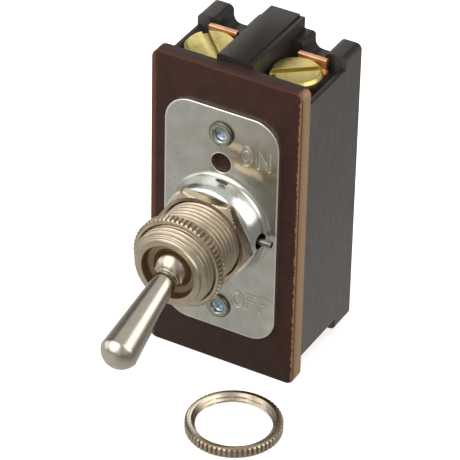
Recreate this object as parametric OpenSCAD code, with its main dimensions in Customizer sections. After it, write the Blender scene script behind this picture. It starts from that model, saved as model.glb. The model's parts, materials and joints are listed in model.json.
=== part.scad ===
// Double-pole panel toggle switch with screw terminals.
//
// Everything is drawn in a panel frame and stood up by upright(): x runs to the right, y up,
// and z forward out of the front plate's face, so depths behind that face are negative z.
// The finished part has +Z up, its lever towards -Y, and its origin where the bushing's axis
// meets the front face of the hex nut, which is the plane that a panel's back seats on.

/* [Front plate] */
// Width of the laminate plate
plate_w = 23.7; // [23.2:0.1:30]
// Height of the laminate plate
plate_h = 49; // [47:0.5:60]
// Thickness of the laminate plate
plate_t = 2.4; // [1.6:0.1:3.2]
// How far the plate's middle lies below the bushing's axis
plate_drop = 0.5; // [0:0.1:1]
// Corner radius of the laminate plate
plate_corner_r = 1.2; // [0.5:0.1:3]

/* [Mounting plate] */
// Width of the steel plate
mount_w = 18.1; // [17.8:0.1:23]
// Height of the steel plate
mount_h = 36.8; // [34:0.2:45]
// Corner radius of the steel plate
mount_corner_r = 4.1; // [1:0.1:6]
// Thickness of the steel plate
mount_t = 0.9; // [0.7:0.1:1.1]
// Radius of the drawn dome at its foot
dome_r = 7.5; // [7.4:0.1:8]
// Height of the dome's roof above the front plate
dome_top = 4.9; // [4.5:0.1:5.6]
// How much the dome's wall leans in from foot to roof
dome_draft = 0.45; // [0.2:0.05:0.6]
// Height of the index hole above the bushing's axis
index_hole_y = 9.75; // [9.6:0.1:11]
// Radius of the index hole
index_hole_r = 1.55; // [0.5:0.05:1.6]

/* [Bushing and nuts] */
// Outside radius of the thread
thread_r = 5.95; // [5.8:0.05:6]
// Height of the bushing's mouth above the front plate
mouth_z = 15.46; // [15.2:0.1:20]
// Radius of the mouth at the front face
mouth_r = 4.15; // [3.5:0.05:4.6]
// Gap between a nut's bore and the thread, on the radius
nut_gap = 0.05; // [0.02:0.01:0.09]
// Width across the flats of the hex nut
hex_flats = 13.3; // [13:0.1:14]
// Thickness of the hex nut
hex_t = 1.46; // [1:0.1:2.5]
// Outside radius of the ring nuts
ring_r = 6.97; // [6.8:0.05:7.6]
// Thickness of the ring nuts
ring_t = 1.65; // [1.4:0.05:2.5]
// Height of the mounted ring nut's front face above the front plate
ring_front = 13.1; // [10.5:0.1:13.4]
// Number of knurl teeth round a ring nut
knurl_teeth = 60; // [40:1:72]
// Depth of the knurl's grooves
knurl_depth = 0.26; // [0.1:0.02:0.4]
// Place of the loose ring nut: sideways from the axis, and in front of the front plate
spare_place = [9.5, 12.8]; // [9:0.1:30]

/* [Lever] */
// Radius of the lever's ball
ball_r = 3; // [2.8:0.05:3.05]
// Height of the ball's centre above the front plate
pivot_z = 13.2; // [13.1:0.1:13.3]
// Distance from the ball's centre to the lever's tip
lever_len = 18.2; // [14:0.2:26]
// Radius at the bat's widest place
bat_r = 2.75; // [2:0.05:3]
// Radius of the bat's narrow end, just past the collar
bat_neck_r = 1.72; // [1.5:0.02:1.9]
// Angle of the lever below the bushing's axis when off, and above it when on
throw_deg = 19.8; // [15:0.1:20]

/* [Housing] */
// Depth of the moulded housing behind the front plate
housing_d = 14.9; // [14.9:0.1:20]
// Height of the centre barrier's ends above and below the axis
barrier_y = 25; // [24.5:0.1:30]
// Thickness of the centre barrier
barrier_t = 5.7; // [5:0.1:6]
// Thickness of the terminal bays' outer walls
side_wall = 0.95; // [0.6:0.05:1.1]
// Height of the bays' outer walls above and below the axis
wall_y = 21.4; // [20.6:0.1:22]
// Height of the bay floors above and below the axis
shelf_y = 20.4; // [19.8:0.1:20.5]
// Height of the rear corner posts above and below the axis
post_y = 23.2; // [22:0.1:25]
// Width of a rear corner post
post_w = 3.4; // [2:0.1:3.6]

/* [Terminals] */
// Distance of a terminal screw from the middle plane
screw_x = 6.75; // [6.7:0.05:6.9]
// Depth of the terminal screws behind the front plate's face
screw_depth = 7.7; // [7:0.1:7.8]
// Radius of a terminal screw's head
head_r = 3.75; // [3:0.05:3.8]
// Height of a terminal screw's head
head_t = 1.3; // [1.1:0.1:2.2]
// Radius of a terminal screw's shank
shank_r = 1.75; // [1.4:0.05:2]
// Thickness of the terminal straps
strap_t = 0.8; // [0.5:0.05:1]
// Width of a terminal strap under the screw
strap_w = 5.75; // [5:0.05:6]
// Height of the strap's upturned end above its tongue
flap_h = 1.5; // [1.2:0.05:3]
// Angle of each screw's slot: top left, top right, bottom left, bottom right
slot_deg = [-46, 38, 12, -70]; // [-90:1:90]

/* [Contact carrier] */
// Height of the pivot pin above the front plate
pin_z = 2.4; // [2.3:0.05:2.6]
// Radius of the pivot pin
pin_r = 0.5; // [0.4:0.05:0.6]
// How far the pivot pin's long end stands out from the middle plane
pin_end = 9.1; // [8.2:0.1:9.5]
// Distance from the pin to the lever's tail end when the switch is thrown
fork_reach = 5.54; // [5.5:0.01:5.6]

/* [Hidden] */
$fn = 96;
eps = 0.01;
LEFT = -1;
RIGHT = 1;
TOP = 1;
BOTTOM = -1;

// Fits
pin_gap = 0.03;
rivet_gap = 0.05;
shank_gap = 0.2;
ball_gap = 0.08;

// Rivets
rivet_y = 14.55;
rivet_head_r = 1.9;
rivet_head_t = 0.5;
rivet_tube_r = 1.4;
rivet_bore_r = 1;
rivet_bore_deep = 0.9;
rivet_sink = 0.6;

// Mounting plate and bushing
dome_wall = 0.8;
dome_shoulder_r = 0.7;
dome_foot_r = 0.9;
pin_window_r = 1.2;
inner_r = 4.6;
skirt_r = 5.4;
skirt_end = 1.3;
rim_r = 5.9;
rim_t = 0.7;
thread_chamfer = 0.95;
mouth_draft = 0.1;
mouth_fillet = 0.4;
seat_bore_r = ball_r + 0.15;
seat_bore_end = 10.6;
lip_r = ball_r - 0.05;
lip_z = pivot_z + sqrt(pow(ball_r + ball_gap, 2) - pow(lip_r, 2));

// Nuts
nut_bore_r = thread_r + nut_gap;
hex_seat = 0.02;
seat_z = dome_top + hex_seat + hex_t;
hex_spin = -3;
hex_chamfer_r = 6.75;
hex_chamfer_rise = tan(30);
nut_lead = 0.25;
knurl_edge = 0.25;

// Lever, measured from the ball's centre; the tail points back
collar_r = 1.75;
collar_s = [2.1, 2.45];
neck_s = 3.8;
crown_h = 2.1;
bat_root_r = 1.42;
crown_r = (pow(bat_r, 2) + pow(crown_h, 2)) / (2 * crown_h);
tail_reach = 6;
tail_tip_r = 1;
tail_neck_r = 0.78;
tail_root_r = 1.4;

// Housing
housing_w = plate_w;
rear = -(plate_t + housing_d);
cavity_w = 19.8;
cavity_h = 18;
rear_wall = 1.8;
rear_web = 3.9;
post_front = 4.5;
shoulder_w = 1.8;
shoulder_y = 23;
saddle_y = 20.5;
ledge_w = 0.85;
ledge_drop = 0.25;
plate_hole_r = 6;

// Terminals and fixed contacts
strap_top = shelf_y + strap_t;
flap_depth = screw_depth + head_r + 0.08;
flap_w = 4.4;
flap_offset = 0.35;
leg_w = 1.8;
leg_x = [5.5, 8.3];
finger_y = 6.7;
finger_end = 8.6;
button_r = 1;
button_t = 0.4;
shank_len = 5;
slot_w = 1;
slot_depth = 0.7;
head_bevel = 0.45;

// Contact carrier, measured from the pivot pin; depths are positive towards the rear
carrier_rest = asin(tail_reach * sin(throw_deg) / fork_reach);
hub_r = 1.7;
hub_w = 7.8;
fork_w = 2.6;
fork_half = 2.2;
slot_half = 1.4;
slot_end = 3.6;
fork_end = 5.6;
arm_w = 7.2;
arm_half = 1.2;
head_start = 8.8;
head_end = 12.4;
head_w = 19;
head_top = -0.2;
nose_reach = 13.2;
nose_r = 0.8;
nose_w = 2.6;
bar_depth = 10.7;
bar_l = 4.8;
bar_w = 2;
bar_y = 0.9;
bar_t = 0.6;
bar_x = (leg_x[0] + leg_x[1]) / 2;
tip_ball_r = 1.3;
tip_ball_y = 1;
bow_t = 0.25;
bow_w = 1.6;
detent_r = nose_reach + nose_r + 0.25;
detent_t = 0.3;
detent_w = 5;
detent_half_deg = 27;
detent_foot = 2;

// ---------- shared shapes ----------

// Stands the panel frame up: its y becomes up and its z becomes forward
module upright() {
    translate([0, seat_z, 0]) rotate([90, 0, 0]) children();
}

// Sweeps a side view sideways; its first number is depth, its second is height
module across(width) {
    rotate([0, 90, 0]) linear_extrude(width, center = true) children();
}

// Points of the arc that rounds the corner p between its neighbours a and b
function corner_arc(a, p, b, r, steps) =
    let (
        u = (a - p) / norm(a - p),
        v = (b - p) / norm(b - p),
        half = acos(u * v) / 2,
        centre = p + (u + v) / norm(u + v) * r / sin(half),
        from = p + u * r / tan(half) - centre,
        to = p + v * r / tan(half) - centre,
        start = atan2(from.y, from.x),
        turn = (atan2(to.y, to.x) - start + 540) % 360 - 180
    )
    [for (k = [0 : steps]) centre + r * [cos(start + turn * k / steps), sin(start + turn * k / steps)]];

// Closed outline through corners given as [x, y, radius]
function rounded(corners, steps = 6) =
    let (n = len(corners))
    [
        for (i = [0 : n - 1])
            let (p = corners[i], a = corners[(i + n - 1) % n], b = corners[(i + 1) % n])
            each (p.z > 0
                ? corner_arc([a.x, a.y], [p.x, p.y], [b.x, b.y], p.z, steps)
                : [[p.x, p.y]])
    ];

// Corners mirrored to the left half and appended, so that an outline is symmetrical
function both_sides(corners) =
    concat(corners, [for (i = [len(corners) - 1 : -1 : 0]) [-corners[i].x, corners[i].y, corners[i].z]]);

// Corners mirrored to the lower half and put first, for outlines drawn from the bottom up
function both_ends(corners) =
    concat([for (i = [len(corners) - 1 : -1 : 0]) [corners[i].x, -corners[i].y, corners[i].z]], corners);

// Flat plate with rounded corners, its back face on z = 0
module rounded_plate(w, h, t, r) {
    linear_extrude(t)
        polygon(rounded([[w / 2, -h / 2, r], [w / 2, h / 2, r], [-w / 2, h / 2, r], [-w / 2, -h / 2, r]], 12));
}

// Arc of points about the origin of a side view, at a height angle from straight back
function back_arc(r, from, to, steps) =
    [for (k = [0 : steps]) let (a = from + (to - from) * k / steps) [r * cos(a), r * sin(a)]];

module at_rivets() {
    for (side = [TOP, BOTTOM]) translate([0, side * rivet_y, 0]) children();
}

// Carrier frame: swung to the off position about the pivot pin
module on_carrier() {
    upright() translate([0, 0, pin_z]) rotate([-carrier_rest, 0, 0]) children();
}

// ---------- panel side ----------

module front_plate() {
    color("#43302a") upright() difference() {
        translate([0, -plate_drop, -plate_t]) rounded_plate(plate_w, plate_h, plate_t, plate_corner_r);
        translate([0, 0, -plate_t - 1]) cylinder(h = plate_t + 2, r = plate_hole_r);
        at_rivets() translate([0, 0, -plate_t - 1])
            cylinder(h = plate_t + 2, r = rivet_tube_r + rivet_gap);
    }
}

// Steel plate with a dome drawn up in its middle, open behind
module mounting_plate() {
    roof_r = dome_r - dome_draft;
    inside = dome_top - dome_wall;
    color("#c9c8c0") upright() difference() {
        union() {
            rounded_plate(mount_w, mount_h, mount_t, mount_corner_r);
            rotate_extrude() polygon(rounded([
                [0, mount_t / 2, 0], [dome_r + 1.2, mount_t / 2, 0], [dome_r + 1.2, mount_t, 0],
                [dome_r, mount_t, dome_foot_r], [roof_r, dome_top, dome_shoulder_r], [0, dome_top, 0]
            ]));
        }
        rotate_extrude() polygon(rounded([
            [0, -1, 0], [dome_r - dome_wall, -1, 0], [dome_r - dome_wall, mount_t, 0],
            [roof_r - dome_wall, inside, dome_shoulder_r / 2], [0, inside, 0]
        ]));
        cylinder(h = dome_top + 1, r = skirt_r + rivet_gap);
        translate([0, 0, pin_z]) rotate([0, 90, 0])
            cylinder(h = 2 * dome_r + 4, r = pin_window_r, center = true);
        translate([0, index_hole_y, -1]) cylinder(h = mount_t + 2, r = index_hole_r);
        at_rivets() translate([0, 0, -1]) cylinder(h = mount_t + 2, r = rivet_tube_r + rivet_gap);
    }
}

// Threaded bushing: ball seat in front, a skirt behind that carries the pivot pin
module bushing() {
    rim_top = dome_top - dome_wall;
    color("#b9b3a4") upright() difference() {
        rotate_extrude() polygon([
            [inner_r, skirt_end], [skirt_r, skirt_end], [skirt_r, rim_top - rim_t],
            [rim_r, rim_top - rim_t], [rim_r, rim_top], [skirt_r, rim_top], [skirt_r, dome_top],
            [thread_r, dome_top], [thread_r, mouth_z - thread_chamfer],
            [thread_r - thread_chamfer, mouth_z], [mouth_r, mouth_z],
            [mouth_r - mouth_draft, lip_z + mouth_fillet],
            [mouth_r - mouth_draft - mouth_fillet, lip_z], [lip_r, lip_z],
            [lip_r, pivot_z], [seat_bore_r, pivot_z], [seat_bore_r, seat_bore_end],
            [inner_r, seat_bore_end - (inner_r - seat_bore_r)]
        ]);
        translate([0, 0, pivot_z]) sphere(r = ball_r + ball_gap);
        translate([0, 0, pin_z]) rotate([0, 90, 0])
            cylinder(h = 4 * skirt_r, r = pin_r + pin_gap, center = true);
    }
}

// Thin back nut that seats on the dome, its front corners turned off
module hex_nut() {
    corner_r = hex_flats / 2 / cos(30);
    cut = (corner_r - hex_chamfer_r) * hex_chamfer_rise;
    color("#aaa598") upright() translate([0, 0, dome_top + hex_seat]) difference() {
        intersection() {
            rotate([0, 0, hex_spin]) cylinder(h = hex_t, r = corner_r, $fn = 6);
            rotate_extrude() polygon([
                [0, 0], [corner_r + eps, 0], [corner_r + eps, hex_t - cut],
                [hex_chamfer_r, hex_t], [0, hex_t]
            ]);
        }
        threaded_bore(hex_t);
    }
}

// Bore of a nut of thickness t with a lead-in at each face
module threaded_bore(t) {
    translate([0, 0, -1]) cylinder(h = t + 2, r = nut_bore_r);
    for (face = [[0, 1], [t, -1]])
        translate([0, 0, face[0]]) mirror([0, 0, face[1] < 0 ? 1 : 0]) translate([0, 0, -eps])
            cylinder(h = nut_lead, r1 = nut_bore_r + nut_lead, r2 = nut_bore_r);
}

// Round nut with a straight knurl between two turned edges
module knurled_ring() {
    pitch = 360 / knurl_teeth;
    root_r = ring_r - knurl_depth;
    face_r = root_r - 0.08;
    difference() {
        intersection() {
            linear_extrude(ring_t) polygon([
                for (i = [0 : knurl_teeth - 1], p = [[-0.32, ring_r], [0.18, ring_r], [0.43, root_r]])
                    p[1] * [cos((i + p[0]) * pitch), sin((i + p[0]) * pitch)]
            ]);
            rotate_extrude() polygon([
                [0, 0], [face_r, 0], [ring_r + eps, knurl_edge], [ring_r + eps, ring_t - knurl_edge],
                [face_r, ring_t], [0, ring_t]
            ]);
        }
        threaded_bore(ring_t);
    }
}

module ring_nut() {
    color("#b5b0a2") upright() translate([0, 0, ring_front - ring_t]) knurled_ring();
}

// Second ring nut, lying flat on the surface that the switch stands on
module spare_ring_nut() {
    color("#c6c0ae") upright() translate([spare_place[0], -barrier_y, spare_place[1]])
        rotate([-90, 0, 0]) knurled_ring();
}

// One-piece lever: tapered bat, collar, ball and tail
module toggle_lever() {
    crown_s = lever_len - crown_h;
    color("#bdb8ae") upright() translate([0, 0, pivot_z]) rotate([throw_deg, 0, 0]) {
        sphere(r = ball_r);
        cylinder(h = collar_s[1], r = collar_r);
        rotate_extrude() polygon([
            [0, collar_s[1]], for (k = [0 : 6]) let (a = 90 * k / 6) [
                bat_root_r + (bat_neck_r - bat_root_r) * sin(a),
                collar_s[1] + (neck_s - collar_s[1]) * (1 - cos(a))
            ], [bat_r, crown_s], [0, crown_s]
        ]);
        intersection() {
            translate([0, 0, lever_len - crown_r]) sphere(r = crown_r);
            translate([0, 0, crown_s]) cylinder(h = crown_h + 1, r = crown_r + 1);
        }
        mirror([0, 0, 1]) {
            cylinder(h = tail_reach - tail_tip_r, r1 = tail_root_r, r2 = tail_neck_r);
            translate([0, 0, tail_reach]) sphere(r = tail_tip_r);
            translate([0, 0, tail_reach - tail_tip_r - eps]) cylinder(h = tail_tip_r, r = tail_neck_r);
        }
    }
}

// Pivot pin, its short end level with the dome's wall
module pivot_pin() {
    start = dome_r - dome_draft / 2;
    color("#a9a9a4") upright() translate([-start, 0, pin_z]) rotate([0, 90, 0])
        cylinder(h = start + pin_end, r = pin_r);
}

// Semi-tubular rivet from the mounting plate to a sunk seat in the housing's back
module tube_rivet() {
    color("#9fb2c4") difference() {
        union() {
            translate([0, 0, rear + rivet_sink - rivet_head_t])
                cylinder(h = mount_t - rear - rivet_sink + rivet_head_t + eps, r = rivet_tube_r);
            translate([0, 0, mount_t]) rotate_extrude() polygon(rounded([
                [0, 0, 0], [rivet_head_r, 0, 0], [rivet_head_r, rivet_head_t, 0.3], [0, rivet_head_t, 0]
            ]));
            translate([0, 0, rear + rivet_sink - rivet_head_t])
                cylinder(h = rivet_head_t, r = rivet_head_r);
        }
        translate([0, 0, mount_t + rivet_head_t - rivet_bore_deep])
            cylinder(h = rivet_bore_deep + 1, r = rivet_bore_r);
        translate([0, 0, mount_t + rivet_head_t - 0.4])
            cylinder(h = 0.4 + eps, r1 = rivet_bore_r, r2 = rivet_tube_r);
    }
}

module rivet_top() {
    upright() translate([0, rivet_y, 0]) tube_rivet();
}

module rivet_bottom() {
    upright() translate([0, -rivet_y, 0]) tube_rivet();
}

// ---------- housing ----------

// Section of the housing through the terminal bays
function bay_corners() = [
    [housing_w / 2, wall_y, 0.3],
    [housing_w / 2 - side_wall, wall_y, 0.3],
    [housing_w / 2 - side_wall, shelf_y, 0],
    [barrier_t / 2, shelf_y, 0],
    [barrier_t / 2, barrier_y, 0.5]
];

// Outline of the housing's back with its corner posts, saddles and shoulders
function back_corners() = [
    [housing_w / 2, post_y, 0.9],
    [housing_w / 2 - post_w, post_y, 0.9],
    [housing_w / 2 - post_w, saddle_y, 1.2],
    [barrier_t / 2 + shoulder_w, saddle_y, 1.2],
    [barrier_t / 2 + shoulder_w, shoulder_y, 0.5],
    [barrier_t / 2, shoulder_y, 0]
];

module housing() {
    color("#2f2c2b") upright() difference() {
        union() {
            translate([0, 0, rear]) linear_extrude(housing_d)
                polygon(rounded(both_sides(both_ends(bay_corners()))));
            translate([0, 0, rear]) linear_extrude(rear_web)
                polygon(rounded(both_sides(both_ends(back_corners()))));
            for (side = [LEFT, RIGHT]) translate([side * (housing_w - post_w) / 2, 0, rear])
                rounded_plate(post_w, 2 * post_y, post_front, 0.9);
        }
        translate([0, 0, rear + rear_wall]) rounded_plate(cavity_w, cavity_h, housing_d, 1);
        for (end = [TOP, BOTTOM])
            translate([barrier_t / 2 - ledge_w, end * (barrier_y + ledge_drop) - ledge_drop * 2, rear - 1])
                cube([ledge_w + 1, ledge_drop * 4, housing_d + 2]);
        for (side = [LEFT, RIGHT]) {
            leg_slot(side * leg_x[0], TOP);
            leg_slot(side * leg_x[1], BOTTOM);
            for (end = [TOP, BOTTOM]) translate([side * screw_x, end * (shelf_y + 1), -screw_depth])
                rotate([90 * end, 0, 0]) cylinder(h = shank_len + 1.5, r = shank_r + shank_gap);
        }
        at_rivets() {
            translate([0, 0, rear - 1]) cylinder(h = housing_d + 2, r = rivet_tube_r + rivet_gap);
            translate([0, 0, rear - 1]) cylinder(h = rivet_sink + 1, r = rivet_head_r + 0.3);
        }
    }
}

// Channel in the housing's face that a strap's leg is laid into
module leg_slot(x, end) {
    gap = 0.1;
    translate([x - leg_w / 2 - gap, end > 0 ? cavity_h / 2 - 1 : -shelf_y - 1, -plate_t - strap_t - gap])
        cube([leg_w + 2 * gap, shelf_y - cavity_h / 2 + 2, strap_t + gap + 1]);
}

// ---------- terminals ----------

// Binding-head screw standing on z = 0, its shank below
module terminal_screw(spin) {
    color("#cdbf6e") difference() {
        rotate_extrude() polygon([
            [0, -shank_len], [shank_r - 0.4, -shank_len], [shank_r, -shank_len + 0.4], [shank_r, 0],
            [head_r - 0.15, 0], [head_r, 0.15], [head_r, head_t - head_bevel],
            [head_r - head_bevel, head_t], [0, head_t]
        ]);
        rotate([0, 0, spin]) translate([-head_r - 1, -slot_w / 2, head_t - slot_depth])
            cube([2 * head_r + 2, slot_w, slot_depth + 1]);
    }
}

module placed_screw(side, end, spin) {
    upright() mirror([0, end < 0 ? 1 : 0, 0]) translate([side * screw_x, strap_top, -screw_depth])
        rotate([-90, 0, 0]) terminal_screw(spin);
}

module terminal_screw_top_left() {
    placed_screw(LEFT, TOP, slot_deg[0]);
}

module terminal_screw_top_right() {
    placed_screw(RIGHT, TOP, slot_deg[1]);
}

module terminal_screw_bottom_left() {
    placed_screw(LEFT, BOTTOM, slot_deg[2]);
}

module terminal_screw_bottom_right() {
    placed_screw(RIGHT, BOTTOM, slot_deg[3]);
}

// Bent strap: tongue under the screw, upturned stop behind it, leg down to a contact finger
module terminal_strap(side, end) {
    leg = end > 0 ? leg_x[0] : leg_x[1];
    back = plate_t + strap_t;
    foot = end * (shelf_y + strap_t / 2);
    top_leg = [
        [plate_t, foot, 0], [plate_t, finger_y, 1], [finger_end, finger_y, 0],
        [finger_end, finger_y + strap_t, 0], [back, finger_y + strap_t, 0.2], [back, foot, 0]
    ];
    bottom_leg = [
        [plate_t, foot, 0], [back, foot, 0], [back, finger_y, 0.2], [finger_end, finger_y, 0],
        [finger_end, finger_y + strap_t, 0], [plate_t, finger_y + strap_t, 1]
    ];
    color("#c97a45") upright() difference() {
        union() {
            translate([side * (barrier_t / 2 + 1.15 + strap_w / 2), end * (shelf_y + strap_t / 2), 0])
                across(strap_w) polygon([
                    [plate_t, -strap_t / 2], [flap_depth, -strap_t / 2],
                    [flap_depth, strap_t / 2], [plate_t, strap_t / 2]
                ]);
            translate([side * (screw_x + flap_offset), 0, 0])
                mirror([0, end < 0 ? 1 : 0, 0]) across(flap_w) polygon(rounded([
                    [flap_depth - 1, shelf_y, 0], [flap_depth + strap_t, shelf_y, 0.9],
                    [flap_depth + strap_t, strap_top + flap_h, 0.2],
                    [flap_depth, strap_top + flap_h, 0.2], [flap_depth, strap_top, 0.1],
                    [flap_depth - 1, strap_top, 0]
                ]));
            translate([side * leg, 0, 0]) across(leg_w) polygon(rounded(end > 0 ? top_leg : bottom_leg));
        }
        translate([side * screw_x, end * (shelf_y - 1), -screw_depth]) rotate([-90 * end, 0, 0])
            cylinder(h = strap_t + 2, r = shank_r + nut_gap);
    }
}

module terminal_strap_top_left() {
    terminal_strap(LEFT, TOP);
}

module terminal_strap_top_right() {
    terminal_strap(RIGHT, TOP);
}

module terminal_strap_bottom_left() {
    terminal_strap(LEFT, BOTTOM);
}

module terminal_strap_bottom_right() {
    terminal_strap(RIGHT, BOTTOM);
}

// Silver button under a contact finger, above the bridge's tip when the switch is on
module fixed_contact(side, leg) {
    swung = carrier_rest;
    depth = (bar_depth * cos(swung) - tip_ball_y * sin(swung)) - pin_z;
    color("#d8d8d6") upright() translate([side * leg, finger_y, -depth]) rotate([90, 0, 0])
        cylinder(h = button_t, r = button_r);
}

module fixed_contact_top_left() {
    fixed_contact(LEFT, leg_x[0]);
}

module fixed_contact_top_right() {
    fixed_contact(RIGHT, leg_x[0]);
}

module fixed_contact_bottom_left() {
    fixed_contact(LEFT, leg_x[1]);
}

module fixed_contact_bottom_right() {
    fixed_contact(RIGHT, leg_x[1]);
}

// ---------- contact mechanism ----------

// Insulating rocker on the pivot pin: fork in front, crosshead and detent nose behind
module contact_carrier() {
    color("#5a3a26") on_carrier() difference() {
        union() {
            rotate([0, 90, 0]) cylinder(h = hub_w, r = hub_r, center = true);
            across(fork_w) difference() {
                polygon(rounded([
                    [0, -fork_half, 0], [0, fork_half, 0], [-fork_end, fork_half, 0.5],
                    [-fork_end, -fork_half, 0.5]
                ]));
                polygon(rounded([
                    [-fork_end - 1, -slot_half, 0], [-slot_end, -slot_half, 0.9],
                    [-slot_end, slot_half, 0.9], [-fork_end - 1, slot_half, 0]
                ]));
            }
            across(arm_w) polygon(rounded([
                [0, -arm_half, 0], [head_start + 1, -arm_half, 0], [head_start + 1, arm_half, 0.8],
                [0, arm_half, 0]
            ]));
            across(head_w) polygon(rounded([
                [head_start, -arm_half, 0.4], [head_end, -arm_half, 0.4], [head_end, head_top, 0],
                [head_start, head_top, 0]
            ]));
            across(nose_w) polygon(concat(
                [[head_end - 1, -nose_r]],
                [for (a = [-90 : 15 : 90]) [nose_reach + nose_r * cos(a), nose_r * sin(a)]],
                [[head_end - 1, nose_r]]
            ));
        }
        rotate([0, 90, 0]) cylinder(h = hub_w + 2, r = pin_r + pin_gap, center = true);
    }
}

module bridge_bar(side) {
    color("#c07a48") on_carrier() translate([side * bar_x, bar_y, -bar_depth]) rotate([-90, 0, 0])
        rounded_plate(bar_l, bar_w, bar_t, 0.5);
}

module bridge_bar_left() {
    bridge_bar(LEFT);
}

module bridge_bar_right() {
    bridge_bar(RIGHT);
}

// Bowed leaf between the crosshead and a bridge bar
module bridge_spring(side) {
    rise = bar_y - head_top - bow_t;
    half = bar_l / 2 - 0.4;
    crown = [for (k = [-8 : 8]) [half * k / 8, rise * pow(cos(90 * k / 8), 2)]];
    color("#b08d4c") on_carrier() translate([side * bar_x, head_top, -bar_depth])
        linear_extrude(bow_w, center = true)
            polygon(concat(crown, [for (i = [len(crown) - 1 : -1 : 0]) crown[i] + [0, bow_t]]));
}

module bridge_spring_left() {
    bridge_spring(LEFT);
}

module bridge_spring_right() {
    bridge_spring(RIGHT);
}

// Domed silver tip riveted to a bridge bar
module bridge_contact(side, leg) {
    color("#dcdcda") on_carrier() translate([side * leg, 0, -bar_depth]) intersection() {
        translate([0, tip_ball_y, 0]) sphere(r = tip_ball_r);
        translate([-tip_ball_r, bar_y + bar_t, -tip_ball_r]) cube(2 * tip_ball_r);
    }
}

module bridge_contact_left_inner() {
    bridge_contact(LEFT, leg_x[0]);
}

module bridge_contact_left_outer() {
    bridge_contact(LEFT, leg_x[1]);
}

module bridge_contact_right_inner() {
    bridge_contact(RIGHT, leg_x[0]);
}

module bridge_contact_right_outer() {
    bridge_contact(RIGHT, leg_x[1]);
}

// Curved leaf that the carrier's nose snaps over, its feet on the housing's back wall
module detent_spring() {
    wall = -rear - rear_wall + pin_z;
    inner = back_arc(detent_r, -detent_half_deg, detent_half_deg, 18);
    outer = back_arc(detent_r + detent_t, detent_half_deg - 1.5, 1.5 - detent_half_deg, 18);
    foot_y = inner[18].y + 1.4;
    foot = [
        [wall, foot_y], [wall, foot_y - detent_foot], [wall - detent_t, foot_y - detent_foot],
        [wall - detent_t, foot_y - detent_t - 0.06]
    ];
    color("#b9bcc0") upright() translate([0, 0, pin_z]) across(detent_w) polygon(concat(
        inner, foot, outer, [for (i = [3 : -1 : 0]) [foot[i].x, -foot[i].y]]
    ));
}

front_plate();
mounting_plate();
bushing();
hex_nut();
ring_nut();
spare_ring_nut();
toggle_lever();
pivot_pin();
rivet_top();
rivet_bottom();
housing();
terminal_screw_top_left();
terminal_screw_top_right();
terminal_screw_bottom_left();
terminal_screw_bottom_right();
terminal_strap_top_left();
terminal_strap_top_right();
terminal_strap_bottom_left();
terminal_strap_bottom_right();
fixed_contact_top_left();
fixed_contact_top_right();
fixed_contact_bottom_left();
fixed_contact_bottom_right();
contact_carrier();
bridge_bar_left();
bridge_bar_right();
bridge_spring_left();
bridge_spring_right();
bridge_contact_left_inner();
bridge_contact_left_outer();
bridge_contact_right_inner();
bridge_contact_right_outer();
detent_spring();
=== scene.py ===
"""Finish of a double-pole panel toggle switch: laminate and zinc-plated plates, nickel-plated
bushing, nuts and lever, brass screws, copper straps and a black moulded housing."""
import json
import math

import bmesh
import bpy
import numpy as np
from mathutils import Matrix, Vector


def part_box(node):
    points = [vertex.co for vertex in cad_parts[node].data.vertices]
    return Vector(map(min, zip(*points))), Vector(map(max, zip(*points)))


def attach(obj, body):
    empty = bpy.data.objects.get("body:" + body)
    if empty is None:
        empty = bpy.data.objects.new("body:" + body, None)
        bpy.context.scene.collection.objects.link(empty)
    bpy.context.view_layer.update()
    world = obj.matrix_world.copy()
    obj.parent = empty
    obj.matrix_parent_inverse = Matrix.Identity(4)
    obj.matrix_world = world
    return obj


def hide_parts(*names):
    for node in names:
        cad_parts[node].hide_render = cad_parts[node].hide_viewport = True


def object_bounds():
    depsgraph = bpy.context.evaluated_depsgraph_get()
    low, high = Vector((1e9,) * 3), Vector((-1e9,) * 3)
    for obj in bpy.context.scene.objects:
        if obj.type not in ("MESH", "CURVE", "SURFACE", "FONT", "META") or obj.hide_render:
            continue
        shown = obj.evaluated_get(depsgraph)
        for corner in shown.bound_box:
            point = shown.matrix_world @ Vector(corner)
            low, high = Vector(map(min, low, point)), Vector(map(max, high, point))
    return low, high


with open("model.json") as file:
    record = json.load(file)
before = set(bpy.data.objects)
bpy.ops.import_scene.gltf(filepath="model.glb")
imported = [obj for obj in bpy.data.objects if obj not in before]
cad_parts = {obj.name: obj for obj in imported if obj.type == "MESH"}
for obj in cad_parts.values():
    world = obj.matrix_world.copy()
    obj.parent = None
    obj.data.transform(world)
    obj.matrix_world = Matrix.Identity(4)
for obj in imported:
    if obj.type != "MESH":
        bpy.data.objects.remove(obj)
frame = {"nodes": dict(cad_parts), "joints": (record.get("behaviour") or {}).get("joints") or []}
cad_box = [list(corner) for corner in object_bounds()]
MM = 0.001

# ---------------------------------------------------------------------------------------------
# Camera, floor and light. The switch stands on a pale table under one wide overhead softbox,
# with weaker panels beside it, and is seen from its right, in front and above.
# ---------------------------------------------------------------------------------------------
face_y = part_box("front_plate")[0].y
yaw, pitch, roll = (math.radians(a) for a in (28.751, 34.789, 1.298))
aim_right, aim_down, distance = 0.999 * MM, 1.702 * MM, 466.342 * MM
back = Vector((math.sin(yaw) * math.cos(pitch), -math.cos(yaw) * math.cos(pitch),
               math.sin(pitch)))
level = Vector((math.cos(yaw), math.sin(yaw), 0))
upward = back.cross(level)
right = level * math.cos(roll) + upward * math.sin(roll)
top = upward * math.cos(roll) - level * math.sin(roll)

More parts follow.
